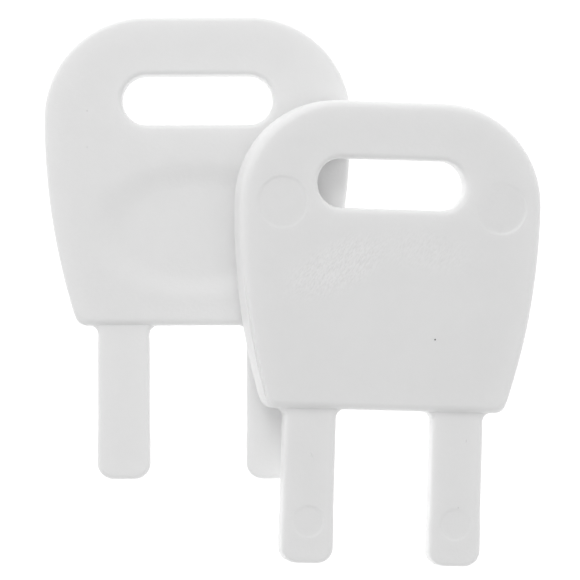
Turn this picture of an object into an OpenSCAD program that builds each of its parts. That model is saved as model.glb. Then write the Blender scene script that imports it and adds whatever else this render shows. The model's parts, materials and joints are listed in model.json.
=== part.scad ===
// Two flat two-prong release keys for a cable window restrictor, one lying across the other.
// Millimetres, +Z up. +Y runs from the prongs to the heads, and +X is to the right.
// Each key is one moulding. It is drawn flat on its plain face: x across it, y up from the foot
// of its head, z from the plain face, where the mould's pins push it out, to the dished face.

/* [Head] */
// Width of the head at its shoulders
head_w = 30.2; // [28:0.2:34]
// Height of the head from its foot to its crown
head_h = 30.4; // [29:0.1:34]
// Thickness of the head
head_t = 3.5; // [3:0.1:4.5]
// Radius of the two crown corners
crown_r = 10; // [8:0.5:12]
// Radius of the bowed sides, which narrow the head towards its foot
side_r = 65; // [60:1:150]
// Radius of the two foot corners
foot_r = 1.2; // [0.6:0.1:1.5]

/* [Prongs] */
// Width of a prong
prong_w = 5; // [4:0.1:5.5]
// Thickness of a prong
prong_t = 2.5; // [2:0.1:2.8]
// Height of the step from the plain face of the head down to the prongs
plain_step = 0.6; // [0.3:0.1:0.7]
// Length of a prong below the head
prong_l = 15.2; // [13:0.1:18]
// Distance between the middles of the two prongs
prong_pitch = 14.7; // [12:0.1:15]
// Radius of the corners at a prong's tip
tip_r = 1.6; // [0.5:0.1:1.9]
// Radius of the fillets where a prong meets the head
root_r = 0.9; // [0.4:0.1:1.2]

/* [Ring slot] */
// Length of the slot across the head
slot_w = 15; // [10:0.5:17]
// Height of the slot
slot_h = 5; // [4.5:0.1:6]
// Height of the slot's middle above the head's foot
slot_y = 22.25; // [21:0.05:24]

/* [Thumb dish] */
// Width of the oval dish
dish_w = 18.4; // [14:0.2:20]
// Height of the oval dish
dish_h = 11.4; // [8:0.2:12]
// Depth of the dish at its middle
dish_d = 0.45; // [0.2:0.05:0.7]
// Height of the dish's middle above the head's foot
dish_y = 9.45; // [8:0.05:11]

/* [Ejector pin marks] */
// Depth of a mark in the plain face
mark_d = 0.1; // [0.05:0.05:0.2]
// Diameter of the two marks beside the ring slot
head_pin = 5; // [3:0.5:5]
// Distance of those marks from the head's centreline
head_pin_x = 11; // [10:0.1:11.5]
// Height of those marks above the head's foot
head_pin_y = 20.2; // [18:0.1:21]
// Diameter of the mark on each prong
prong_pin = 3; // [2:0.5:3.5]
// Distance of that mark below the head's foot
prong_pin_y = 11.1; // [6:0.1:11.5]

/* [How the keys lie] */
// Middle of the lower key's foot, left to right
lower_x = -9.4; // [-9.4:0.1:-9.4]
// Middle of the lower key's foot, from front to back
lower_y = -3.2; // [-3.2:0.1:-3.2]
// Turn of the lower key on the surface it lies on, in degrees
lower_turn = 0.2; // [0:0.1:0.5]
// Middle of the upper key's foot, left to right
upper_x = 8.55; // [8.5:0.05:8.6]
// Middle of the upper key's foot, from front to back
upper_y = -11.6; // [-11.7:0.1:-11.6]
// Height of the upper key's underside at the middle of its foot
upper_z = 2.2; // [2.2:0.05:2.6]
// Turn of the upper key, in degrees
upper_turn = -1.2; // [-1.6:0.1:-1]
// How far the upper key leans down to its right, where its head reaches the surface, in degrees
lean_right = 9.9; // [9.9:0.05:9.95]
// How far the upper key leans down towards its prongs, in degrees
lean_front = 2.2; // [2.2:0.05:2.2]

/* [Hidden] */
$fn = 180;
plastic = [0.87, 0.87, 0.87];
// How far one shape runs into or past another, so that they join or cut cleanly
lap = 1;
// Height at which the bowed sides start, level with the middles of the crown corners
crown_y = head_h - crown_r;
// Distance of the middles of the crown corners from the centreline
crown_x = head_w / 2 - crown_r;
// Distance of the middle of each bowed side from the centreline, on the far side of it
bow_x = side_r - head_w / 2;
// Distance of the middles of the foot corners from the centreline
foot_x = sqrt(pow(side_r - foot_r, 2) - pow(crown_y - foot_r, 2)) - bow_x;
// Height at which a bowed side runs into its foot corner
bow_foot_y = crown_y - side_r * (crown_y - foot_r) / (side_r - foot_r);
// Distance of the middles of a prong's tip corners from its own centreline
tip_x = prong_w / 2 - tip_r;
// Radii of the dish's floor along its width and along its height
dish_rw = (pow(dish_w / 2, 2) + pow(dish_d, 2)) / (2 * dish_d);
dish_rh = (pow(dish_h / 2, 2) + pow(dish_d, 2)) / (2 * dish_d);

// The head's outline: round crown corners, bowed sides and small foot corners.
module head_outline() {
    for (side = [-1, 1]) translate([side * crown_x, crown_y]) circle(crown_r);
    translate([-crown_x, crown_y]) square([2 * crown_x, crown_r]);
    intersection() {
        translate([-bow_x, crown_y]) circle(side_r);
        translate([bow_x, crown_y]) circle(side_r);
        translate([-head_w / 2, bow_foot_y]) square([head_w, crown_y - bow_foot_y]);
    }
    for (side = [-1, 1]) translate([side * foot_x, foot_r]) circle(foot_r);
    translate([-foot_x, 0]) square([2 * foot_x, foot_r]);
}

// A prong's outline on its own centreline, with its root run up into the head.
module prong_outline() {
    translate([-prong_w / 2, tip_r - prong_l]) square([prong_w, prong_l - tip_r + lap]);
    translate([-tip_x, -prong_l]) square([2 * tip_x, tip_r]);
    for (side = [-1, 1]) translate([side * tip_x, tip_r - prong_l]) circle(tip_r);
    for (side = [0, 1]) mirror([side, 0]) root_fillet();
}

// The fillet on one side of a prong's root.
module root_fillet() {
    translate([prong_w / 2, -root_r]) difference() {
        square([root_r, root_r + lap]);
        translate([root_r, 0]) circle(root_r);
    }
}

// The slot for a key ring or a cord, right through the head.
module ring_slot() {
    straight = slot_w - slot_h;
    translate([0, slot_y, -lap]) linear_extrude(head_t + 2 * lap) {
        for (side = [-1, 1]) translate([side * straight / 2, 0]) circle(slot_h / 2);
        translate([-straight / 2, -slot_h / 2]) square([straight, slot_h]);
    }
}

// The barrel-shaped cutter for the shallow oval dish under the thumb, its axis across the key.
module thumb_dish() {
    translate([0, dish_y, head_t - dish_d + dish_rh]) rotate([0, 90, 0]) rotate_extrude()
        intersection() {
            translate([dish_rh - dish_rw, 0]) circle(dish_rw);
            translate([0, -dish_w / 2 - lap]) square([dish_rh, dish_w + 2 * lap]);
        }
}

// A shallow round mark left by an ejector pin in a surface that faces down at height z.
module pin_mark(x, y, z, d) {
    translate([x, y, z - lap]) cylinder(d = d, h = mark_d + lap);
}

// One key, lying on its plain face.
module key() {
    difference() {
        union() {
            linear_extrude(head_t) head_outline();
            for (side = [-1, 1]) translate([side * prong_pitch / 2, 0, plain_step])
                linear_extrude(prong_t) prong_outline();
        }
        ring_slot();
        thumb_dish();
        for (side = [-1, 1]) {
            pin_mark(side * head_pin_x, head_pin_y, 0, head_pin);
            pin_mark(side * prong_pitch / 2, -prong_pin_y, plain_step, prong_pin);
        }
    }
}

// The lower key lies flat on its plain face, dished face up.
module lower_key() {
    color(plastic) translate([lower_x, lower_y, 0]) rotate([0, 0, lower_turn]) key();
}

// The upper key lies turned over, plain face up. It leans across the right edge of the lower
// head and down to the surface.
module upper_key() {
    color(plastic) translate([upper_x, upper_y, upper_z])
        rotate([lean_front, lean_right, 0]) rotate([0, 0, upper_turn])
        translate([0, 0, head_t]) rotate([0, 180, 0]) key();
}

lower_key();
upper_key();
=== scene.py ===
# Looks for two moulded window restrictor keys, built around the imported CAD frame.
# Shapes are worked out in millimetres in the moulding's own frame: x across the key, y up from the
# foot of its head, z = 0 in the middle of the head's thickness, with the plain face on the +z side
# and the dished face on the -z side.
import json
import math

import bpy
import numpy as np
from mathutils import Matrix, Vector
from mathutils.geometry import delaunay_2d_cdt


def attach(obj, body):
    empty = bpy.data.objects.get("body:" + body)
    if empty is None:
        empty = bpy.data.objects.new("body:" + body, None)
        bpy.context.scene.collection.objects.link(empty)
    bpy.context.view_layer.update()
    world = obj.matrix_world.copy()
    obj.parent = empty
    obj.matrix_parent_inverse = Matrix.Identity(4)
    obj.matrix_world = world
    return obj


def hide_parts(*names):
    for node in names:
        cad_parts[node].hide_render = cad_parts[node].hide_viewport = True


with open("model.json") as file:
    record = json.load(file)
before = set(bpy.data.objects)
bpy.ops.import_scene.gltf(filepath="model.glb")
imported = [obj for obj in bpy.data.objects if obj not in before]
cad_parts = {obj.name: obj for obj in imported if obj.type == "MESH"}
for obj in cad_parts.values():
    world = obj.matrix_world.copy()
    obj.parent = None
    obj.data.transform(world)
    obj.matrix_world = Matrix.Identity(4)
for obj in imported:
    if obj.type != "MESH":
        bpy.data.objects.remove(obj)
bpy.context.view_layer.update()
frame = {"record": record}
MOUNTS = {mount["name"]: mount for mount in frame["record"]["mounts"]}
PRONG_DIMS = MOUNTS["lower_key_prongs"]["dims"]
SLOT_DIMS = MOUNTS["lower_key_ring_slot"]["dims"]

MM = 0.001

# Sizes that the frame gives.
HEAD_T = SLOT_DIMS["length_mm"]
PRONG_PITCH = PRONG_DIMS["spacing_x_mm"]
PRONG_L = PRONG_DIMS["length_mm"]
SLOT_W = SLOT_DIMS["slot_length_mm"]
SLOT_R = SLOT_DIMS["hole_r_mm"]

# The rest of the CAD's driving sizes.
HEAD_W, HEAD_H = 30.2, 30.4
CROWN_R, SIDE_R, FOOT_R = 10.0, 65.0, 1.2
PRONG_W, PRONG_T = 5.0, 2.5
TIP_R, ROOT_R = 1.6, 0.9
SLOT_Y = 22.25
DISH_W, DISH_H, DISH_D, DISH_Y = 18.4, 11.4, 0.45, 9.45
HEAD_PIN_R, HEAD_PIN_X, HEAD_PIN_Y = 2.5, 11.0, 20.2
PRONG_PIN_R, PRONG_PIN_Y = 1.5, -11.1
# How far the prongs lie below each face of the head.
PLAIN_STEP = 0.6
DISHED_STEP = HEAD_T - PRONG_T - PLAIN_STEP

# Edge radii. The plain face's edge is crisp down the sides and soft round the crown.
SIDE_EDGE_R = {"plain": 0.6, "dished": 0.35}
CROWN_EDGE_R = {"plain": 0.8, "dished": 0.45}
SLOT_EDGE_R = {"plain": 0.55, "dished": 0.45}
FOOT_EDGE_R, PRONG_EDGE_R = 0.75, 0.45
# Heights above the foot: where the sides' edge starts to soften, over how much more height it turns
# into the crown's, and below which the foot's own edge takes over.
CRISP_TOP, SOFTENING, FOOT_EDGE_TOP = 7, 11, 1.6

# Detail that the CAD leaves plain. The block at a prong's tip fades out over TIP_BLOCK_FADE.
TIP_BLOCK_L, TIP_BLOCK_OUT, TIP_BLOCK_FADE = 4.6, 0.055, 1.2
# How far the mould's draft spreads the walls of the head and of a prong at the dished face, how
# much wider than the CAD's each half of a prong is, how far the slot's walls close in half way
# through, and how far from the slot that still moves a point.
HEAD_DRAFT, PRONG_DRAFT, PRONG_OUT, SLOT_DRAFT, SLOT_DRAFT_W = 0.07, 0.06, 0.04, 0.12, 1.5
# How far the plain half of the head's left wall leans in at the plain face.
LEFT_DRAFT = 0.2
# The width of the rim of the dish as a share of its half width, and the share of its depth that is in
# its hollow floor.
DISH_RIM, DISH_SAG = 0.48, 0.12
PIN_DEPTH, PIN_EDGE = 0.08, 0.3
# The mould's parting line, a fine groove in the plain face's left edge: its depth, its distance in
# from the wall, its width, the height where it starts to fade and the height over which it does.
PARTING_DEPTH, PARTING_IN, PARTING_W = 0.28, 0.15, 0.08
PARTING_TOP, PARTING_FADE = 8, 8
# How steeply the head's foot drops to the prongs, how softly it meets them, and the height above
# which there is only head.
FOOT_SLOPE, FOOT_BLEND, HEAD_ONLY_Y = 12, 0.08, 1

# How finely the meshes follow the shape.
POINT_GAP, GRID_GAP, CLEARANCE = 0.2, 0.4, 0.22
EDGE_STEPS = 10
PIN_POINTS = 72
# Rings across the soft edge of a pin's mark and across the parting line, in units of their widths,
# and rows of points down a wall, as shares of its height.
PIN_RINGS = (-0.6, -0.3, 0.0, 0.3, 0.6)
PARTING_RINGS = np.linspace(-1.5, 2, 7)
WALL_ROWS = (0.1, 0.35, 0.65, 0.9)
# How far a prong's outline is run up into the head, and how many points are measured at once.
ROOT_RUN = 2
BATCH = 4000
# The row of points just in front of the head's foot, at the bottom of the step.
STEP_ROW = -0.06


def smooth(t):
    """0 below 0, 1 above 1, and a smooth step between."""
    t = np.clip(t, 0, 1)
    return t * t * (3 - 2 * t)


def arc(cx, cy, r, start, end):
    """Points along an arc, angles in degrees, without its last point."""
    count = max(3, math.ceil(abs(math.radians(end - start)) * r / POINT_GAP))
    a = np.radians(np.linspace(start, end, count, endpoint=False))
    return np.c_[cx + r * np.cos(a), cy + r * np.sin(a)]


def line(x0, y0, x1, y1):
    """Points along a straight line, without its last point."""
    count = max(1, math.ceil(math.hypot(x1 - x0, y1 - y0) / POINT_GAP))
    t = np.linspace(0, 1, count, endpoint=False)[:, None]
    return np.array([[x0, y0]]) * (1 - t) + np.array([[x1, y1]]) * t


def ring(cx, cy, r, count):
    """Points round a circle."""
    a = np.linspace(0, 2 * math.pi, count, endpoint=False)
    return np.c_[cx + r * np.cos(a), cy + r * np.sin(a)]


def mirrored(path):
    """A path's mirror image in x = 0, walked backwards."""
    return path[::-1] * [-1, 1]


def head_side():
    """The right side of the head from the top of its crown to the end of its foot corner."""
    crown_x, crown_y = HEAD_W / 2 - CROWN_R, HEAD_H - CROWN_R
    bow_x = HEAD_W / 2 - SIDE_R
    foot_x = bow_x + math.sqrt((SIDE_R - FOOT_R) ** 2 - (crown_y - FOOT_R) ** 2)
    bow_end = math.degrees(math.atan2(FOOT_R - crown_y, foot_x - bow_x))
    path = [
        line(0, HEAD_H, crown_x, HEAD_H),
        arc(crown_x, crown_y, CROWN_R, 90, 0),
        arc(bow_x, crown_y, SIDE_R, 0, bow_end),
        arc(foot_x, FOOT_R, FOOT_R, bow_end, -90),
        [[foot_x, 0]],
    ]
    return np.vstack(path), foot_x


def prong_side(inner, outer):
    """The right prong from its outer root at x = outer, round its tip, to its inner root."""
    x, half = PRONG_PITCH / 2, PRONG_W / 2
    outer_r, inner_r = outer - x - half, x - half - inner
    path = [
        arc(outer, -outer_r, outer_r, 90, 180),
        line(x + half, -outer_r, x + half, TIP_R - PRONG_L),
        arc(x + half - TIP_R, TIP_R - PRONG_L, TIP_R, 0, -90),
        line(x + half - TIP_R, -PRONG_L, x - half + TIP_R, -PRONG_L),
        arc(x - half + TIP_R, TIP_R - PRONG_L, TIP_R, 270, 180),
        line(x - half, TIP_R - PRONG_L, x - half, -inner_r),
        arc(inner, -inner_r, inner_r, 0, 90),
    ]
    path = np.vstack(path)
    # The block at its tip is a touch wider.
    from_middle = path[:, 0] - x
    wide = 1 - smooth((path[:, 1] + PRONG_L - TIP_BLOCK_L) / TIP_BLOCK_FADE + 0.5)
    path[:, 0] += np.clip(from_middle / (half - TIP_R), -1, 1) * TIP_BLOCK_OUT * wide
    return path


def slot_loop():
    """The ring slot's outline, anticlockwise."""
    x = SLOT_W / 2 - SLOT_R
    path = [
        arc(x, SLOT_Y, SLOT_R, -90, 90),
        line(x, SLOT_Y + SLOT_R, -x, SLOT_Y + SLOT_R),
        arc(-x, SLOT_Y, SLOT_R, 90, 270),
        line(-x, SLOT_Y - SLOT_R, x, SLOT_Y - SLOT_R),
    ]
    return np.vstack(path)


def closed(right):
    """The whole loop, from its right half: from the top of the crown to just before (0, 0)."""
    return np.vstack([right, [[0, 0]], mirrored(right[1:])])


side, foot_x = head_side()
root_inner = PRONG_PITCH / 2 - PRONG_W / 2 - ROOT_R
root_outer = min(PRONG_PITCH / 2 + PRONG_W / 2 + ROOT_R, foot_x - 0.05)
foot_corner = line(foot_x, 0, root_outer, 0)[1:]
foot_middle = line(root_inner, 0, 0, 0)
foot_under = line(root_outer, 0, root_inner, 0)
prong = prong_side(root_inner, root_outer)
PRONG_START = len(side) + len(foot_corner)
WHOLE = closed(np.vstack([side, foot_corner, prong, foot_middle]))
HEAD = closed(np.vstack([side, foot_corner, foot_under, foot_middle]))
# The right prong with its root run up into the head.
PRONG = np.vstack([prong, [[root_inner, 0], [root_inner, ROOT_RUN], [root_outer, ROOT_RUN]]])
SLOT = slot_loop()
# Each ejector pin's x, y and radius, and the way its mark is deepest.
PINS = [
    (-HEAD_PIN_X, HEAD_PIN_Y, HEAD_PIN_R, (0.0, 0.3)),
    (HEAD_PIN_X, HEAD_PIN_Y, HEAD_PIN_R, (0.6, -0.6)),
    (-PRONG_PITCH / 2, PRONG_PIN_Y, PRONG_PIN_R, (0.3, 0.0)),
    (PRONG_PITCH / 2, PRONG_PIN_Y, PRONG_PIN_R, (-0.3, 0.0)),
]


def inside(points, loop):
    """How far each point lies inside a closed loop, negative outside it."""
    a = loop
    b = np.roll(loop, -1, axis=0)
    along = b - a
    length = np.maximum((along**2).sum(1), 1e-12)
    rise = np.where(along[:, 1] == 0, 1e-12, along[:, 1])
    depth = np.empty(len(points))
    for start in range(0, len(points), BATCH):
        p = points[start : start + BATCH, None, :]
        t = np.clip(((p - a) * along).sum(2) / length, 0, 1)
        away = p - a - t[..., None] * along
        nearest = np.sqrt((away**2).sum(2)).min(1)
        crosses = (a[:, 1] > p[..., 1]) != (b[:, 1] > p[..., 1])
        crossing_x = a[:, 0] + (p[..., 1] - a[:, 1]) / rise * along[:, 0]
        odd = (crosses & (p[..., 0] < crossing_x)).sum(1) % 2 == 1
        depth[start : start + BATCH] = np.where(odd, nearest, -nearest)
    return depth


def left_normals(loop):
    """Unit normals on the left of a closed loop: out of a clockwise one, into the other kind."""
    along = np.roll(loop, -1, axis=0) - np.roll(loop, 1, axis=0)
    along = along / np.linalg.norm(along, axis=1)[:, None]
    return np.c_[-along[:, 1], along[:, 0]]


def rounded(depth, r):
    """How far a rounded edge of radius r drops below its face, at a depth in from the wall."""
    short = np.clip(r - depth, 0, r)
    return r - np.sqrt(np.maximum(r * r - short * short, 0))


def head_edge_r(y, face="plain"):
    """The head's edge radius at each height."""
    crisp, soft = SIDE_EDGE_R[face], CROWN_EDGE_R[face]
    side_r = crisp + (soft - crisp) * smooth((y - CRISP_TOP) / SOFTENING)
    return side_r + (FOOT_EDGE_R - side_r) * smooth(FOOT_EDGE_TOP - y)


def parting_drop(points):
    """The parting line's groove, which fades out towards the crown and the foot."""
    x, y = points.T
    across = (inside(points, HEAD) - PARTING_IN) / PARTING_W
    along = (x < 0) * smooth(y) * (1 - smooth((y - PARTING_TOP) / PARTING_FADE))
    return PARTING_DEPTH * along * np.exp(-(across**2))


def dish_drop(points):
    """The oval thumb dish: a soft rim that fades out at its ends, round a gently hollow floor."""
    out = np.hypot(points[:, 0] / (DISH_W / 2), (points[:, 1] - DISH_Y) / (DISH_H / 2))
    floor = DISH_SAG * (1 - np.minimum(out, 1) ** 2)
    return DISH_D * ((1 - DISH_SAG) * (1 - smooth((out - 1) / DISH_RIM + 0.5)) + floor)


def pin_drop(points, x, y, r, deepest):
    """The shallow round mark of an ejector pin, a little askew."""
    dx, dy = points[:, 0] - x, points[:, 1] - y
    skew = 1 + (dx * deepest[0] + dy * deepest[1]) / r
    return PIN_DEPTH * skew * (1 - smooth((np.hypot(dx, dy) - r) / PIN_EDGE + 0.5))


def face_heights(points, face):
    """Height of the plain or the dished face above the middle of the head's thickness."""
    edge = head_edge_r(points[:, 1], face)
    head_in = inside(points, HEAD)
    slot_out = -inside(points, SLOT)
    head = HEAD_T / 2 - rounded(np.maximum(head_in, 0), edge) - rounded(slot_out, SLOT_EDGE_R[face])
    folded = np.c_[np.abs(points[:, 0]), points[:, 1]]
    prong_in = np.maximum(inside(folded, PRONG), 0)
    step = PLAIN_STEP if face == "plain" else DISHED_STEP
    prongs = HEAD_T / 2 - step - rounded(prong_in, PRONG_EDGE_R)
    if face == "dished":
        head -= dish_drop(points)
    else:
        marks = parting_drop(points) + sum(pin_drop(points, *pin) for pin in PINS)
        head -= marks
        prongs -= marks
    # In front of its foot the head ends in a steep wall, and meets a prong in a tiny fillet.
    head = np.where(head_in < -1e-6, HEAD_T / 2 - edge + FOOT_SLOPE * head_in, head)
    share = np.clip(0.5 + 0.5 * (head - prongs) / FOOT_BLEND, 0, 1)
    joined = prongs + (head - prongs) * share + FOOT_BLEND * share * (1 - share)
    return np.where(points[:, 1] > HEAD_ONLY_Y, head, joined)


class Plan:
    """The points of a face in plan, its triangles, and the loops of points round its edges."""

    def __init__(self):
        self.pieces, self.edges = [], []
        self.count = 0
        outline, slot = self.add(WHOLE, True), self.add(SLOT, True)
        self.add_edge_rings()
        self.add_pin_rings()
        self.add_grid()
        points = [Vector(p) for p in np.vstack(self.pieces)]
        found, _, triangles, origins, _, _ = delaunay_2d_cdt(points, self.edges, [], 1, 1e-5, True)
        self.points = np.array([p[:] for p in found])
        place = {old: new for new, olds in enumerate(origins) for old in olds}
        self.outline = [place[i] for i in outline]
        self.slot = [place[i] for i in slot]
        triangles = np.array([t[:3] for t in triangles])
        middles = self.points[triangles].mean(1)
        kept = (inside(middles, WHOLE) > 0) & (inside(middles, SLOT) < 0)
        self.triangles = triangles[kept]

    def add(self, path, loop=False):
        """Adds a path whose edges the triangles keep, and gives its points' numbers."""
        numbers = list(range(self.count, self.count + len(path)))
        self.pieces.append(path)
        self.count += len(path)
        self.edges += list(zip(numbers, numbers[1:]))
        if loop:
            self.edges.append((numbers[-1], numbers[0]))
        return numbers

    def add_edge_rings(self):
        """Rings along every rounded edge, closer together where it is steeper."""
        head_out, slot_in = left_normals(HEAD), left_normals(SLOT)
        prong_out = left_normals(WHOLE)[PRONG_START : PRONG_START + len(prong)]
        shares = 1 - np.cos(math.pi / 2 * np.arange(1, EDGE_STEPS + 1) / EDGE_STEPS)
        parting = np.tile(PARTING_IN + PARTING_W * PARTING_RINGS, (len(HEAD), 1))
        # Sorted, the rings of the edge and of the parting line in it never cross.
        insets = np.sort(np.c_[np.outer(head_edge_r(HEAD[:, 1]), shares), parting], axis=1)
        for number, inset in enumerate(insets.T):
            path = HEAD - head_out * inset[:, None]
            # Every other ring is staggered, which keeps the triangles alike.
            self.add(path if number % 2 else (path + np.roll(path, -1, axis=0)) / 2, True)
        for share in shares:
            self.add(SLOT - slot_in * share * max(SLOT_EDGE_R.values()), True)
            inset = prong - prong_out * share * PRONG_EDGE_R
            inset = inset[inset[:, 1] < 2 * STEP_ROW]
            self.add(inset)
            self.add(mirrored(inset))
        for x in (1, -1):
            self.add(np.vstack([foot_under, [[root_inner, 0]]]) * [x, 1])
            row = foot_under * [x, 1] + [0, STEP_ROW]
            self.add(row[inside(row, WHOLE) > -STEP_ROW / 2])

    def add_pin_rings(self):
        """Rings across the soft edge of each ejector pin's mark."""
        for x, y, r, _ in PINS:
            for share in PIN_RINGS:
                self.add(ring(x, y, r + share * PIN_EDGE, PIN_POINTS), True)

    def add_grid(self):
        """A regular grid over what the rings leave free."""
        x = np.arange(GRID_GAP / 2, HEAD_W / 2, GRID_GAP)
        x = np.r_[-x[::-1], x]
        y = np.arange(-PRONG_L, HEAD_H, GRID_GAP)
        grid = np.stack(np.meshgrid(x, y), -1).reshape(-1, 2)
        folded = np.c_[np.abs(grid[:, 0]), grid[:, 1]]
        in_head = inside(grid, HEAD) > head_edge_r(grid[:, 1]) + CLEARANCE
        in_prong = inside(folded, PRONG) > PRONG_EDGE_R + CLEARANCE
        in_prong &= grid[:, 1] < STEP_ROW - CLEARANCE
        slot_edge = max(SLOT_EDGE_R.values()) + CLEARANCE
        free = (in_head | in_prong) & (inside(grid, SLOT) < -slot_edge)
        for px, py, r, _ in PINS:
            from_ring = np.abs(np.hypot(grid[:, 0] - px, grid[:, 1] - py) - r)
            free &= from_ring > PIN_EDGE * max(PIN_RINGS) + CLEARANCE / 2
        self.pieces.append(grid[free])
        self.count += int(free.sum())


def wall(numbers, plain, dished, plan, first):
    """The points and faces of a wall from the plain face's edge to the dished face's."""
    n = len(numbers)
    points = []
    for share in WALL_ROWS:
        points.append(np.c_[plan[numbers], plain[numbers] * (1 - share) + dished[numbers] * share])
    rows = [list(numbers)]
    rows += [list(range(first + k * n, first + (k + 1) * n)) for k in range(len(points))]
    rows.append([i + len(plan) for i in numbers])
    faces = []
    for upper, lower in zip(rows, rows[1:]):
        faces += [(upper[i], upper[(i + 1) % n], lower[(i + 1) % n], lower[i]) for i in range(n)]
    return np.vstack(points), faces


def drafted(vertices):
    """Vertices moved so that the walls lean a little, as they must to leave the mould."""
    x, y, z = vertices.T
    spread = np.clip(-z / (HEAD_T / 2), 0, 1)
    moved = vertices.copy()
    # The head grows about its middle, and each prong about its own centreline.
    in_head = smooth(y / 2 + 1)
    moved[:, 0] += in_head * HEAD_DRAFT * spread * x / (HEAD_W / 2)
    moved[:, 1] += in_head * HEAD_DRAFT * spread * (2 * y / HEAD_H - 1)
    lean = LEFT_DRAFT * np.clip(z / (HEAD_T / 2), 0, 1)
    moved[:, 0] += in_head * lean * np.maximum(-x, 0) / (HEAD_W / 2)
    across = (np.abs(x) - PRONG_PITCH / 2) / (PRONG_W / 2) * np.sign(x)
    moved[:, 0] += (1 - in_head) * (PRONG_OUT + PRONG_DRAFT * spread) * across
    # The slot is narrowest half way through.
    reach = SLOT_W / 2 - SLOT_R
    away = np.c_[x - np.clip(x, -reach, reach), y - SLOT_Y]
    distance = np.linalg.norm(away, axis=1)
    share = (1 - smooth((distance - SLOT_R) / SLOT_DRAFT_W)) / np.maximum(distance, SLOT_R)
    moved[:, :2] -= away * (share * SLOT_DRAFT * (1 - np.abs(z) / (HEAD_T / 2)))[:, None]
    return moved


def moulding():
    """One key's vertices in millimetres, and its faces."""
    plan = Plan()
    plain = face_heights(plan.points, "plain")
    dished = -face_heights(plan.points, "dished")
    vertices = [np.c_[plan.points, plain], np.c_[plan.points, dished]]
    faces = [tuple(t) for t in plan.triangles]
    faces += [tuple(t[::-1] + len(plan.points)) for t in plan.triangles]
    first = 2 * len(plan.points)
    for numbers in (plan.outline, plan.slot):
        points, quads = wall(numbers, plain, dished, plan.points, first)
        vertices.append(points)
        faces += quads
        first += len(points)
    return drafted(np.vstack(vertices)), [tuple(map(int, face)) for face in faces]


VERTICES, FACES = moulding()


def placement(key, plain_up):
    """Where a key's own frame lies, from its two mounts in the record."""
    ring_slot = MOUNTS[key + "_ring_slot"]
    y = -Vector(MOUNTS[key + "_prongs"]["axis"]).normalized()
    z = Vector(ring_slot["axis"]) * (1 if plain_up else -1)
    x = y.cross(z).normalized()
    matrix = Matrix((x, y, x.cross(y))).transposed().to_4x4()
    matrix.translation = Vector(ring_slot["pos_m"]) - y * SLOT_Y * MM
    return matrix


def key_mesh(name, matrix):
    """A key's mesh where it lies, in metres. Its vertices keep their places in the moulding."""
    mesh = bpy.data.meshes.new(name)
    mesh.from_pydata((VERTICES * MM).tolist(), [], FACES)
    mesh.transform(matrix)
    place = mesh.attributes.new("moulding_mm", "FLOAT_VECTOR", "POINT")
    place.data.foreach_set("vector", VERTICES.astype(np.float32).ravel())
    mesh.polygons.foreach_set("use_smooth", [True] * len(mesh.polygons))
    mesh.update()
    return mesh


class Nodes:
    """A material's node tree, emptied, with short ways to add and join nodes."""

    def __init__(self, material):
        material.use_nodes = True
        self.tree = material.node_tree
        self.tree.nodes.clear()

    def add(self, kind, inputs=(), **settings):
        """A node with its settings, and its inputs linked or set."""
        node = self.tree.nodes.new("ShaderNode" + kind)
        for key, value in settings.items():
            setattr(node, key, value)
        for key, value in dict(inputs).items():
            if isinstance(value, bpy.types.NodeSocket):
                self.tree.links.new(value, node.inputs[key])
            else:
                node.inputs[key].default_value = value
        return node

    def maths(self, operation, *values):
        """The result of a Math node."""
        return self.add("Math", dict(enumerate(values)), operation=operation).outputs[0]

    def mapped(self, value, low, high, to_low, to_high):
        """A value moved from one range to another, with a smooth curve."""
        inputs = {0: value, 1: low, 2: high, 3: to_low, 4: to_high}
        return self.add("MapRange", inputs, interpolation_type="SMOOTHSTEP").outputs[0]

    def stretched(self, place, centre, degrees, sizes):
        """A place counted from a centre, along turned axes, in units of the given sizes."""
        turn = (0, 0, math.radians(degrees))
        inputs = {"Vector": place, "Location": centre, "Rotation": turn, "Scale": sizes}
        return self.add("Mapping", inputs, vector_type="TEXTURE").outputs[0]

    def patch(self, place, centre, degrees, sizes, core):
        """1 in the middle of an ellipsoid, 0 outside it, and a smooth fall between."""
        near = self.stretched(place, centre, degrees, sizes)
        out = self.add("VectorMath", {0: near}, operation="LENGTH").outputs["Value"]
        return self.mapped(out, core, 1.0, 1.0, 0.0)

    def noise(self, place, scale, detail):
        """Soft noise between 0 and 1."""
        inputs = {"Vector": place, "Scale": scale, "Detail": detail}
        return self.add("TexNoise", inputs).outputs["Fac"]


# The plastic's colour and roughness, each from one end of the mottle to the other.
MOTTLE, COLOUR, ROUGHNESS = (0.3, 0.7), (0.915, 0.927), (0.42, 0.5)
# How far light spreads under its surface, in metres, and how deep a relief of 1 is.
SPREAD, RELIEF_DEPTH = 0.0013, 0.0004
# The two patches where the plain face's strokes carry painted highlight and a light relief: middle,
# turn, half sizes and solid core. The right one counts for less.
PATCH_LEFT = ((-5.2, 14.0, HEAD_T / 2), 27, (7.4, 3.3, 1.0), 0.2)
PATCH_RIGHT = ((3.2, 15.8, HEAD_T / 2), -8, (8.0, 3.2, 1.0), 0.1)
PATCH_RIGHT_SHARE = 0.45
# The strokes in them: turn, sizes, the noise level that leaves the colour alone, how much painted
# highlight lifts their colour, and how high they stand. Then the height of the grain, and the depth
# and half width of a scuff.
STROKE_TURN, STROKE_SIZES, STROKE_LEVEL = 58, (0.42, 0.15, 1.0), 0.37
STROKE_PAINTED_GLINT, STROKE_RELIEF = 0.36, 0.12
GRAIN_RELIEF, SCUFF_RELIEF, SCUFF_HALF_W = 0.05, 0.12, 0.09


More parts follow.
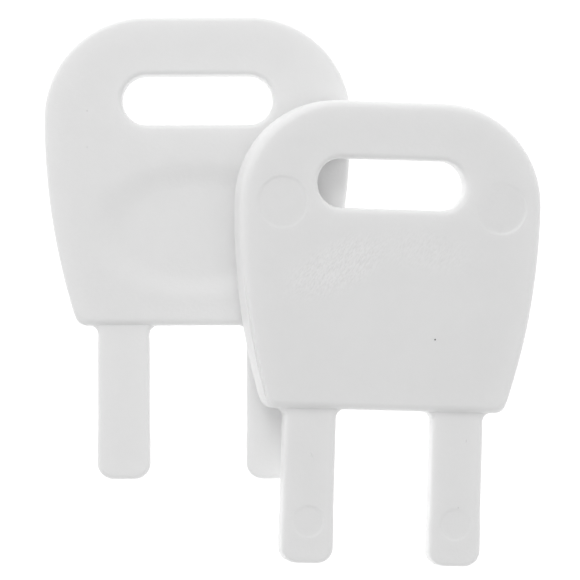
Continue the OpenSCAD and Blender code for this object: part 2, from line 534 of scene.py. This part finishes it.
def key_plastic(name, flecks, scuffs):
    """White moulded plastic: satin, slightly translucent, faintly mottled and finely grained, with
    strokes of painted highlight in two patches of its plain face.

    flecks are specks of dirt, each with its place, radius and darkness; scuffs are short
    scratches, each with its place, direction and half its length."""
    material = bpy.data.materials.new(name)
    nodes = Nodes(material)
    place = nodes.add("Attribute", attribute_name="moulding_mm").outputs["Vector"]
    mottle = nodes.noise(place, 0.3, 3.0)
    colour = nodes.mapped(mottle, *MOTTLE, *COLOUR)
    for centre, r, darkness in flecks:
        dirt = nodes.patch(place, centre, 0, (r, r, r), core=0.5)
        colour = nodes.maths("MULTIPLY", colour, nodes.maths("MULTIPLY_ADD", dirt, -darkness, 1.0))
    # In two patches the plain face has short slanting strokes of painted highlight over a light
    # relief of the same strokes, most of all on the left below the slot. The rest of the key has only
    # a trace of grain.
    left, right = nodes.patch(place, *PATCH_LEFT), nodes.patch(place, *PATCH_RIGHT)
    right = nodes.maths("MULTIPLY", right, PATCH_RIGHT_SHARE)
    relief_and_painted_glint = nodes.maths("MAXIMUM", left, right)
    turned = nodes.stretched(place, (0, 0, 0), STROKE_TURN, STROKE_SIZES)
    strokes = nodes.noise(turned, 1.0, 1.0)
    # Painted highlight: in the patches the strokes make the plastic's colour paler.
    painted_glint = nodes.maths("MULTIPLY", nodes.maths("SUBTRACT", strokes, STROKE_LEVEL), relief_and_painted_glint)
    painted_glint = nodes.maths("MULTIPLY_ADD", painted_glint, STROKE_PAINTED_GLINT, 1.0)
    colour = nodes.maths("MULTIPLY", colour, painted_glint)
    grain = nodes.noise(place, 3.0, 3.0)
    height = nodes.maths("MULTIPLY", nodes.maths("MULTIPLY", strokes, relief_and_painted_glint), STROKE_RELIEF)
    height = nodes.maths("MULTIPLY_ADD", grain, GRAIN_RELIEF, height)
    for centre, degrees, half_length in scuffs:
        sizes = (half_length, SCUFF_HALF_W, 0.5)
        scratch = nodes.patch(place, centre, degrees, sizes, core=0.0)
        height = nodes.maths("MULTIPLY_ADD", scratch, -SCUFF_RELIEF, height)
    bump = nodes.add("Bump", {"Height": height, "Strength": 1.0, "Distance": RELIEF_DEPTH})
    shader = nodes.add(
        "BsdfPrincipled",
        {
            "Base Color": colour,
            "Roughness": nodes.mapped(mottle, *MOTTLE, *ROUGHNESS),
            "IOR": 1.4,
            "Normal": bump.outputs[0],
            "Subsurface Weight": 0.5,
            "Subsurface Radius": (SPREAD, SPREAD, SPREAD),
            "Subsurface Scale": 1.0,
        },
    )
    nodes.add("OutputMaterial", {"Surface": shader.outputs[0]})
    return material


# The upper key shows its plain face, the lower key its dished one.
PLAIN_Z, DISHED_Z = HEAD_T / 2, -HEAD_T / 2
UPPER_FLECKS = [((4.7, 7.1, PLAIN_Z), 0.1, 0.95), ((7.6, -9.4, PLAIN_Z - PLAIN_STEP), 0.1, 0.15)]
LOWER_FLECKS = [((10.9, 21.2, DISHED_Z), 0.12, 0.12), ((10.9, 17.6, DISHED_Z), 0.12, 0.08)]
UPPER_SCUFFS = [
    ((-7.2, -4.6, PLAIN_Z - PLAIN_STEP), -65, 0.5),
    ((8.2, -2.9, PLAIN_Z - PLAIN_STEP), 70, 0.45),
]


def make_keys():
    """Both keys, each in the place of its CAD piece and riding on its body."""
    looks = {
        "lower_key": (False, key_plastic("lower_key_plastic", LOWER_FLECKS, [])),
        "upper_key": (True, key_plastic("upper_key_plastic", UPPER_FLECKS, UPPER_SCUFFS)),
    }
    for key, (plain_up, material) in looks.items():
        name = key + "_moulding"
        piece = bpy.data.objects.new(name, key_mesh(name, placement(key, plain_up)))
        bpy.context.scene.collection.objects.link(piece)
        piece.data.materials.append(material)
        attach(piece, key)
        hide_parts(key)


def make_floor():
    """A pale floor that glows like a lit studio table, so that shadows on it stay faint."""
    mesh = bpy.data.meshes.new("floor")
    half = 3.0
    corners = [(-half, -half, 0), (half, -half, 0), (half, half, 0), (-half, half, 0)]
    mesh.from_pydata(corners, [], [(0, 1, 2, 3)])
    floor = bpy.data.objects.new("floor", mesh)
    # Just below the lower key, whose underside would else lie in the floor itself.
    floor.location.z = -0.05 * MM
    bpy.context.scene.collection.objects.link(floor)
    material = bpy.data.materials.new("floor")
    nodes = Nodes(material)
    shader = nodes.add(
        "BsdfPrincipled",
        {
            "Base Color": (0.2, 0.2, 0.2, 1),
            "Roughness": 0.9,
            "Specular IOR Level": 0.0,
            "Emission Color": (1, 1, 1, 1),
            "Emission Strength": 1.1,
        },
    )
    nodes.add("OutputMaterial", {"Surface": shader.outputs[0]})
    mesh.materials.append(material)


def make_lights():
    """A white room and a large soft light up and to the left."""
    world = bpy.data.worlds.new("studio")
    bpy.context.scene.world = world
    world.use_nodes = True
    background = world.node_tree.nodes["Background"]
    background.inputs["Color"].default_value = (1, 1, 1, 1)
    background.inputs["Strength"].default_value = 0.57
    lamp = bpy.data.lights.new("softbox", "AREA")
    lamp.shape = "RECTANGLE"
    lamp.size, lamp.size_y = 0.28, 0.2
    lamp.energy = 0.52
    # It points at the middle of the pair.
    light = bpy.data.objects.new("softbox", lamp)
    light.location = (-0.09, 0.27, 0.29)
    light.rotation_euler = (-light.location).to_track_quat("-Z", "Y").to_euler()
    bpy.context.scene.collection.objects.link(light)


def make_camera():
    """Nearly straight above the keys, leaning a little towards their prongs, on a long lens."""
    lean_x, lean_y = math.radians(2.71), math.radians(0.37)
    distance = 0.6449
    aim = Vector((-0.00034, 0.00039, 0.0))
    camera = bpy.data.cameras.new("camera")
    camera.sensor_width = 36
    camera.lens = 403.3
    camera.clip_start, camera.clip_end = 0.01, 20
    holder = bpy.data.objects.new("camera", camera)
    turn = Matrix.Rotation(lean_x, 4, "X") @ Matrix.Rotation(lean_y, 4, "Y")
    holder.matrix_world = Matrix.Translation(aim) @ turn @ Matrix.Translation((0, 0, distance))
    bpy.context.scene.collection.objects.link(holder)
    bpy.context.scene.camera = holder


make_keys()
make_floor()
make_lights()
make_camera()
bpy.context.scene.view_settings.view_transform = "Standard"
